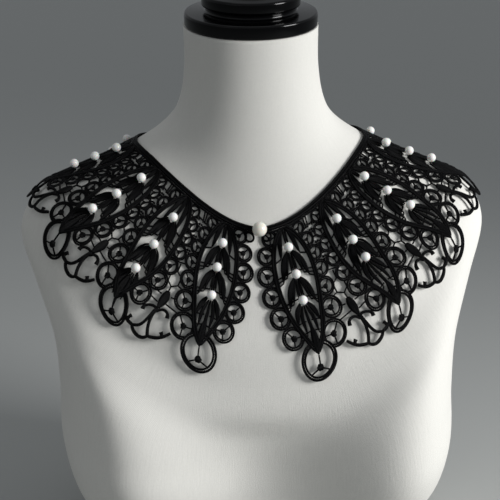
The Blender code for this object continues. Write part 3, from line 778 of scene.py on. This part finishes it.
def draw_valley(panel):
    """What lies between this panel and the next: bud, scrolls, hem, net and small rosettes."""
    for points, (start, middle, end) in VALLEY_CORDS.values():
        path = from_valley(smooth_path(points))
        panel.cord(path, (start, middle, middle, end), clear_of_rings, lift=1.1)
    bud = from_valley(smooth_path(VALLEY_BUD))
    widths = np.array((0.45, 0.85, 1.0, 0.95, 0.7, 0.35)) * VALLEY_BUD_HALF_WIDTH
    panel.cord(bud, widths, section=LEAF, height=1.0, lift=1.1)
    for first, last in NET_TIES:
        ends = from_valley([NET_CORNERS[first], NET_CORNERS[last]])
        panel.cord(resample(ends, 2.0), TIE, clear_of_rings, section=THIN, lift=TIE_LIFT, step=2.2)
    for corner, end in NET_REACHES.items():
        ends = resample(from_valley([NET_CORNERS[corner], end]), 0.9)
        panel.cord(ends, TIE, clear_of_rings, section=THIN, lift=TIE_LIFT, step=2.2)
    for across in NECK_TIES:
        ends = resample(from_valley([(across, NECK_CORD), (0.6 * across - 1.5, 15.0)]), 0.9)
        panel.cord(ends, TIE, clear_of_rings, section=THIN, lift=TIE_LIFT, step=2.2)
    for outward in ROSETTES:
        for turn in (45, 135, 225, 315):
            way = np.array((math.cos(math.radians(turn)), math.sin(math.radians(turn))))
            petal = from_valley([(0.0, outward) + way * 0.5, (0.0, outward) + way * 2.3])
            panel.cord(petal, (0.5, 1.1, 1.0), clear_of_rings, lift=0.9, step=0.7)
    for k, outward in enumerate(UPPER_TIES):
        slant = 2.5 if k % 2 else -2.5
        ends = resample(from_valley([(-12.0, outward - slant), (12.0, outward + slant)]), 0.9)
        panel.cord(ends, TIE, clear_of_rings, section=THIN, lift=TIE_LIFT, step=2.2)


print("valley cords:", len(VALLEY_CORDS))

# %% [markdown]
# ## Material effects
# Three effects are shared by the materials below, each a small node group: thread wound round a
# cord, with painted shade between its turns; a plain weave with slubs; and faint handling marks.
# A group only changes colour, roughness or the bump, and each material keeps its own shader.

# %% Shared effects
def new_group(name, inputs, outputs):
    group = bpy.data.node_groups.new(name, "ShaderNodeTree")
    for label, kind, value in inputs:
        socket = group.interface.new_socket(label, in_out="INPUT", socket_type=kind)
        if value is not None:
            socket.default_value = value
    for label, kind in outputs:
        group.interface.new_socket(label, in_out="OUTPUT", socket_type=kind)
    into = group.nodes.new("NodeGroupInput")
    out = group.nodes.new("NodeGroupOutput")
    return group, into, out


def math_node(group, operation, first, second=None, third=None):
    node = group.nodes.new("ShaderNodeMath")
    node.operation = operation
    for slot, value in enumerate((first, second, third)):
        if value is None:
            continue
        if isinstance(value, (int, float)):
            node.inputs[slot].default_value = value
        else:
            group.links.new(value, node.inputs[slot])
    return node.outputs[0]


def noise(group, scale, detail, place):
    node = group.nodes.new("ShaderNodeTexNoise")
    node.inputs["Scale"].default_value = scale
    node.inputs["Detail"].default_value = detail
    group.links.new(place, node.inputs["Vector"])
    return node.outputs["Fac"]


def attribute(group, name):
    node = group.nodes.new("ShaderNodeAttribute")
    node.attribute_name = name
    return node.outputs["Fac"]


def thread_wrap_group():
    """Turns of thread round a cord: a height for the bump, and painted shade in the gaps between turns.
    """
    group, into, out = new_group(
        "thread_wrap",
        (("turns_per_mm", "NodeSocketFloat", 2.2), ("slant", "NodeSocketFloat", 1.1)),
        (("height", "NodeSocketFloat"), ("shade", "NodeSocketFloat")),
    )
    along = attribute(group, "along")
    around = attribute(group, "around")
    place = group.nodes.new("ShaderNodeTexCoord").outputs["Object"]
    wander = noise(group, 420.0, 2.0, place)
    slanted = math_node(group, "MULTIPLY_ADD", around, into.outputs["slant"], along)
    wandered = math_node(group, "MULTIPLY_ADD", wander, 0.5, slanted)
    turns = math_node(group, "MULTIPLY", wandered, into.outputs["turns_per_mm"])
    phase = math_node(group, "MULTIPLY", turns, 2 * math.pi)
    wave = math_node(group, "SINE", phase)
    height = math_node(group, "MULTIPLY_ADD", wave, 0.5, 0.5)
    group.links.new(height, out.inputs["height"])
    # painted shade: the colour falls to half in the gaps between the turns, where shade would fall
    shade = math_node(group, "MULTIPLY_ADD", height, 0.5, 0.5)
    group.links.new(shade, out.inputs["shade"])
    return group


def weave_group():
    """A plain weave with thick and thin threads: a height, and a slight change of shade."""
    group, into, out = new_group(
        "plain_weave",
        (("threads_per_mm", "NodeSocketFloat", 1.3), ("slub", "NodeSocketFloat", 0.6)),
        (("height", "NodeSocketFloat"), ("shade", "NodeSocketFloat")),
    )
    place = group.nodes.new("ShaderNodeTexCoord").outputs["Object"]
    split = group.nodes.new("ShaderNodeSeparateXYZ")
    group.links.new(place, split.inputs[0])
    angle = math_node(group, "ARCTAN2", split.outputs["X"], split.outputs["Y"])
    round_form = math_node(group, "MULTIPLY", angle, 150.0)
    down = math_node(group, "MULTIPLY", split.outputs["Z"], 1000.0)
    speed = into.outputs["threads_per_mm"]
    speed = math_node(group, "MULTIPLY", speed, 2 * math.pi)
    warp = math_node(group, "SINE", math_node(group, "MULTIPLY", round_form, speed))
    weft = math_node(group, "SINE", math_node(group, "MULTIPLY", down, speed))
    threads = math_node(group, "MULTIPLY", warp, weft)
    joined = group.nodes.new("ShaderNodeCombineXYZ")
    group.links.new(math_node(group, "MULTIPLY", round_form, 0.9), joined.inputs[0])
    group.links.new(math_node(group, "MULTIPLY", down, 0.06), joined.inputs[1])
    slubs = noise(group, 1.0, 3.0, joined.outputs[0])
    fuzz = math_node(group, "MULTIPLY", noise(group, 620.0, 3.0, place), 0.5)
    rough = math_node(group, "MULTIPLY_ADD", slubs, into.outputs["slub"], fuzz)
    height = math_node(group, "MULTIPLY_ADD", threads, 0.25, rough)
    group.links.new(height, out.inputs["height"])
    shade = math_node(group, "MULTIPLY_ADD", rough, 0.16, 0.91)
    group.links.new(shade, out.inputs["shade"])
    return group


def marks_group():
    """Broad, faint changes of roughness, as handling leaves on a polished surface."""
    group, into, out = new_group(
        "handling_marks",
        (("roughness", "NodeSocketFloat", 0.2), ("amount", "NodeSocketFloat", 0.1)),
        (("roughness", "NodeSocketFloat"),),
    )
    place = group.nodes.new("ShaderNodeTexCoord").outputs["Object"]
    centred = math_node(group, "SUBTRACT", noise(group, 30.0, 4.0, place), 0.5)
    value = math_node(group, "MULTIPLY_ADD", centred, into.outputs["amount"], into.outputs["roughness"])
    group.links.new(value, out.inputs["roughness"])
    return group


THREAD_WRAP = thread_wrap_group()
PLAIN_WEAVE = weave_group()
HANDLING_MARKS = marks_group()
print("shared effects:", len(bpy.data.node_groups))

# %% Materials
def new_material(name, **settings):
    material = bpy.data.materials.new(name)
    material.use_nodes = True
    shader = material.node_tree.nodes["Principled BSDF"]
    for label, value in settings.items():
        shader.inputs[label.replace("_", " ")].default_value = value
    return material, material.node_tree, shader


def add_effect(tree, group, **settings):
    node = tree.nodes.new("ShaderNodeGroup")
    node.node_tree = group
    for label, value in settings.items():
        node.inputs[label].default_value = value
    return node


def tint(tree, shader, colour, shade):
    mix = tree.nodes.new("ShaderNodeMix")
    mix.data_type = "RGBA"
    mix.blend_type = "MULTIPLY"
    mix.inputs["Factor"].default_value = 1.0
    mix.inputs["A"].default_value = colour
    tree.links.new(shade, mix.inputs["B"])
    tree.links.new(mix.outputs["Result"], shader.inputs["Base Color"])


def bump(tree, shader, height, distance, strength=1.0):
    node = tree.nodes.new("ShaderNodeBump")
    node.inputs["Distance"].default_value = distance
    node.inputs["Strength"].default_value = strength
    tree.links.new(height, node.inputs["Height"])
    tree.links.new(node.outputs["Normal"], shader.inputs["Normal"])


def make_thread():
    material, tree, shader = new_material(
        "black_thread", Roughness=0.5, Specular_IOR_Level=0.08,
    )
    wrap = add_effect(tree, THREAD_WRAP)
    # the thread's near-black colour, darkened further by painted shade in the gaps between turns
    tint(tree, shader, (0.0012, 0.0012, 0.0016, 1), wrap.outputs["shade"])
    bump(tree, shader, wrap.outputs["height"], 0.00012)
    return material


def make_form_cloth():
    material, tree, shader = new_material(
        "form_cloth", Roughness=0.92, Specular_IOR_Level=0.2, Sheen_Weight=0.08,
        Sheen_Roughness=0.6,
    )
    weave = add_effect(tree, PLAIN_WEAVE)
    tint(tree, shader, (0.70, 0.69, 0.65, 1), weave.outputs["shade"])
    bump(tree, shader, weave.outputs["height"], 0.00022, 0.8)
    return material


def make_lacquer():
    material, tree, shader = new_material(
        "black_lacquer", Base_Color=(0.001, 0.001, 0.0012, 1), Roughness=0.12,
        Specular_IOR_Level=0.16, Coat_Weight=0.1, Coat_Roughness=0.04,
    )
    marks = add_effect(tree, HANDLING_MARKS, roughness=0.14, amount=0.10)
    tree.links.new(marks.outputs["roughness"], shader.inputs["Roughness"])
    return material


def make_pearl(name, colour):
    material, tree, shader = new_material(
        name, Base_Color=colour, Roughness=0.22, Specular_IOR_Level=0.6, Coat_Weight=0.35,
        Coat_Roughness=0.06, Subsurface_Weight=0.15, Subsurface_Scale=0.002,
    )
    marks = add_effect(tree, HANDLING_MARKS, roughness=0.22, amount=0.12)
    tree.links.new(marks.outputs["roughness"], shader.inputs["Roughness"])
    return material


thread_material = make_thread()
cloth_material = make_form_cloth()
lacquer_material = make_lacquer()
pearl_material = make_pearl("pearl_white", (0.86, 0.86, 0.83, 1))
cream_material = make_pearl("pearl_cream", (0.80, 0.77, 0.68, 1))
floor_material, _, _ = new_material("pale_floor", Base_Color=(0.42, 0.43, 0.42, 1), Roughness=0.9)
print("materials:", len(bpy.data.materials))

# %% [markdown]
# ## The form and its cap
# The torso is covered in cloth, so it is rebuilt at a finer step than the solid, on the same
# surface. The neck cap is turned wood: a profile spun round an axis that leans with the neck.

# %% Form and cap
# radius and height over the neck top, from below to the top, in millimetres
CAP_PROFILE = (
    (53.6, 0.3), (54.6, 1.2), (54.6, 10.2), (53.6, 11.2), (38.4, 11.6), (37.2, 12.6),
    (37.2, 15.6), (39.6, 16.2), (40.4, 17.2), (40.4, 24.4), (39.2, 25.6), (30.0, 26.6),
    (26.5, 31.0), (19.0, 36.0), (10.0, 38.8),
)
FORM_TURNS = 144
ROWS_A_SECTION = 8
CAP_CORNER = 0.7  # how far a corner of the cap is eased


def ring_mesh(name, rings, material):
    """A mesh through rings of points, closed flat at both ends."""
    count = len(rings[0])
    faces = []
    for level in range(len(rings) - 1):
        for k in range(count):
            after = (k + 1) % count
            low = level * count
            faces.append((low + k, low + after, low + count + after, low + count + k))
    faces.append(tuple(reversed(range(count))))
    last = (len(rings) - 1) * count
    faces.append(tuple(last + k for k in range(count)))
    thing = new_piece(name, np.concatenate(rings), faces, material)
    thing.data.polygons.foreach_set("use_smooth", [len(face) == 4 for face in faces])
    return thing


def build_form():
    last = len(FORM_TABLE) - 1
    rows = np.append(np.arange(0, last, 1 / ROWS_A_SECTION), last)
    turns = np.arange(FORM_TURNS) * 2 * math.pi / FORM_TURNS
    rings = [form_surface(turns, row) for row in rows]
    return ring_mesh("form_cover", rings, cloth_material)


def finer_profile():
    """The cap's profile with each corner eased, so that it catches a line of light."""
    points = [Vector(p) for p in CAP_PROFILE] + [Vector((2.0, 39.9))]
    eased = [points[0]]
    for before, corner, after in zip(points, points[1:], points[2:]):
        way_in = before - corner
        way_out = after - corner
        start = corner + way_in.normalized() * min(CAP_CORNER, way_in.length * 0.4)
        end = corner + way_out.normalized() * min(CAP_CORNER, way_out.length * 0.4)
        eased += [start, (start + end + corner * 2) / 4, end]
    return [tuple(p) for p in eased + [points[-1]]]


def build_cap():
    edge = form_surface(np.radians(np.array([0.0, 90.0, 180.0, 270.0])), 0.0)
    middle = (edge[0] + edge[2]) / 2
    back = edge[2] - edge[0]
    back /= np.linalg.norm(back)
    up = np.cross((1.0, 0.0, 0.0), back)
    angles = np.arange(96) * 2 * math.pi / 96
    spin = np.outer(np.cos(angles), (1.0, 0.0, 0.0)) + np.outer(np.sin(angles), back)
    rings = [middle + radius * spin + height * up for radius, height in finer_profile()]
    cap = ring_mesh("cap_lacquered", rings, lacquer_material)
    cap.data.set_sharp_from_angle(angle=math.radians(38))
    return cap


form_cover = build_form()
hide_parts("form_torso")
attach(form_cover, "root")
cap = build_cap()
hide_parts("neck_cap")
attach(cap, "root")
print("form faces:", len(form_cover.data.polygons))

# %% [markdown]
# ## Sewing the two halves
# Each half runs from the centre front to the seam at the centre back. The cords are collected
# panel by panel and then laid on the form in one go. The two cords of the neck band are a piece
# of their own, as they are a separate braid that the lace is sewn to.

# %% Lace
SIDE_NAMES = {-1: "left", 1: "right"}
PANELS_A_SIDE = PANELS_IN_ALL // 2
BAND_CORDS = ((1.15, 1.15), (3.35, 1.10))  # distance from the neckline, and half width
BAND_LIFT = 1.2


def polar_path(start, end, outward, step=1.5):
    """Points along an arc of the flat pattern."""
    count = max(2, math.ceil(abs(end - start) * (NECK_RADIUS + outward) / step))
    angles = np.linspace(start, end, count)
    reach = NECK_RADIUS + outward
    return np.stack([reach * np.sin(angles), reach * np.cos(angles)], 1)


def draw_front_edge(panel):
    """The row of rings along the collar's front edge, with ties to the frame."""
    for ring in front_rings:
        draw_ring(panel, ring, -1)
    corner = FRONT_CORNER_RINGS[panel.thread.side]
    panel.double_cord(corner, corner[2], RING_CORDS[:1] * 2,
                      lambda points: ~inside_frame(points, UNDER_FRAME))


def build_lace(side):
    thread = Thread(side)
    for number in range(PANELS_A_SIDE):
        panel = Panel(thread, number)
        first = number == 0
        draw_frame(panel)
        draw_tip(panel)
        draw_leaves(panel)
        for ring in outer_rings:
            draw_ring(panel, ring, 1)
        if first:
            draw_front_edge(panel)
        else:
            for ring in inner_rings:
                draw_ring(panel, ring, -1)
        draw_valley(panel)
    start = drapes[side].angle_at_neck(FRONT_GAP / 2 + 1.0)
    neck_cord = polar_path(start, BACK_SEAM - 3 * SEAM_MARGIN, NECK_CORD, 2.2)
    thread.cord(neck_cord, NECK_CORD_HALF_WIDTH)
    name = "lace_cords_" + SIDE_NAMES[side]
    return thread.build(name, thread_material)


def build_band(side):
    thread = Thread(side)
    start = drapes[side].angle_at_neck(FRONT_GAP / 2)
    for outward, half in BAND_CORDS:
        path = polar_path(start, BACK_SEAM, outward)
        thread.cord(path, half, lift=BAND_LIFT, section=FINE_ROUND)
    return thread.build("band_cords_" + SIDE_NAMES[side], thread_material)


for side, name in SIDE_NAMES.items():
    lace = build_lace(side)
    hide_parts("lace_" + name)
    band = build_band(side)
    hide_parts("band_" + name)
    for piece in (lace, band):
        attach(piece, "root")
    print(name, "lace faces:", len(lace.data.polygons), "band faces:", len(band.data.polygons))

# %% [markdown]
# ## Pearls
# Three pearls are sewn down the axis of every panel, and a larger one closes the front.

# %% Pearls
def ball_points(segments=20, rings=12):
    rows = [math.pi * k / rings for k in range(rings + 1)]
    angles = np.arange(segments) * 2 * math.pi / segments
    points, faces = [], []
    for row in rows[1:-1]:
        points += [(math.sin(row) * math.cos(a), math.sin(row) * math.sin(a), math.cos(row))
                   for a in angles]
    top = len(points)
    points += [(0, 0, 1.0), (0, 0, -1.0)]
    for level in range(rings - 2):
        for k in range(segments):
            a = level * segments + k
            b = level * segments + (k + 1) % segments
            faces.append((a, a + segments, b + segments, b))
    last = (rings - 2) * segments
    for k in range(segments):
        after = (k + 1) % segments
        faces.append((top, k, after))
        faces.append((top + 1, last + after, last + k))
    return np.array(points), faces


def build_pearls(name, places, radius, material):
    """One mesh of all the balls, each at its own place, in millimetres."""
    shape, shape_faces = ball_points()
    vertices, faces = [], []
    for k, place in enumerate(places):
        vertices.append(shape * radius + place)
        faces += [tuple(v + k * len(shape) for v in face) for face in shape_faces]
    return new_piece(name, np.vstack(vertices), faces, material)


for side, side_name in SIDE_NAMES.items():
    flats = []
    for panel in range(PANELS_A_SIDE):
        for outward in pearl_places(side, panel):
            flats.append(to_pattern([(0.0, outward)], panel)[0])
    flats = np.array(flats)
    lifts = standoff(flats) + LACE_WALL + SEAT_GAP + PEARL_RADIUS
    places, _ = drapes[side].place(flats, lifts)
    pearls = build_pearls("pearls_" + side_name, places, PEARL_RADIUS, pearl_material)
    nodes = [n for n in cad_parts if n.startswith("pearl_" + side_name)]
    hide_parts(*nodes)
    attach(pearls, "root")
print("pearl nodes:", len([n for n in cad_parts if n.startswith("pearl_")]))

low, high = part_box("front_pearl")
front_place = [(low[k] + high[k]) / 2 / MM for k in range(3)]
front_pearl = build_pearls("pearl_at_front", [front_place], FRONT_PEARL_RADIUS, cream_material)
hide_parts("front_pearl")
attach(front_pearl, "root")

# %% [markdown]
# ## Floor and light
# A pale floor, one large soft light high on the right for the shape of the form, and a weak fill
# from the left. The ratio between the two gives the dark side of the neck.

# %% Floor and light
FLOOR_SIZE = 80000.0
FLOOR_GAP = 0.5  # under the form's base


def make_floor():
    size = FLOOR_SIZE / 2
    corners = [(-size, -size, 0), (size, -size, 0), (size, size, 0), (-size, size, 0)]
    floor = new_piece("floor", corners, [(0, 1, 2, 3)], floor_material)
    floor.location.z = -FLOOR_GAP * MM


# place it shines from, width, spread in degrees, power in watts; each points at the collar
LIGHTS = {
    "key": ((1.48, -0.72, 0.72), 0.70, 80, 7.0),
    "fill": ((-1.3, -1.4, 0.8), 1.2, 140, 0.3),
    "top": ((0.1, 0.2, 1.9), 1.0, 140, 0.5),
}
LIGHT_AIM = Vector((0.0, -0.02, 0.27))


def make_lights():
    for name, (place, width, spread, power) in LIGHTS.items():
        data = bpy.data.lights.new(name, "AREA")
        data.size = width
        data.spread = math.radians(spread)
        data.energy = power
        light = bpy.data.objects.new(name, data)
        bpy.context.collection.objects.link(light)
        light.location = place
        light.rotation_euler = (Vector(place) - LIGHT_AIM).to_track_quat("Z", "Y").to_euler()
    world = bpy.data.worlds.new("studio")
    world.use_nodes = True
    background = world.node_tree.nodes["Background"]
    background.inputs["Color"].default_value = (0.92, 0.96, 1.0, 1)
    background.inputs["Strength"].default_value = 0.30
    bpy.context.scene.world = world
    bpy.context.scene.view_settings.view_transform = "Standard"


make_floor()
make_lights()
print("lights:", len(LIGHTS))
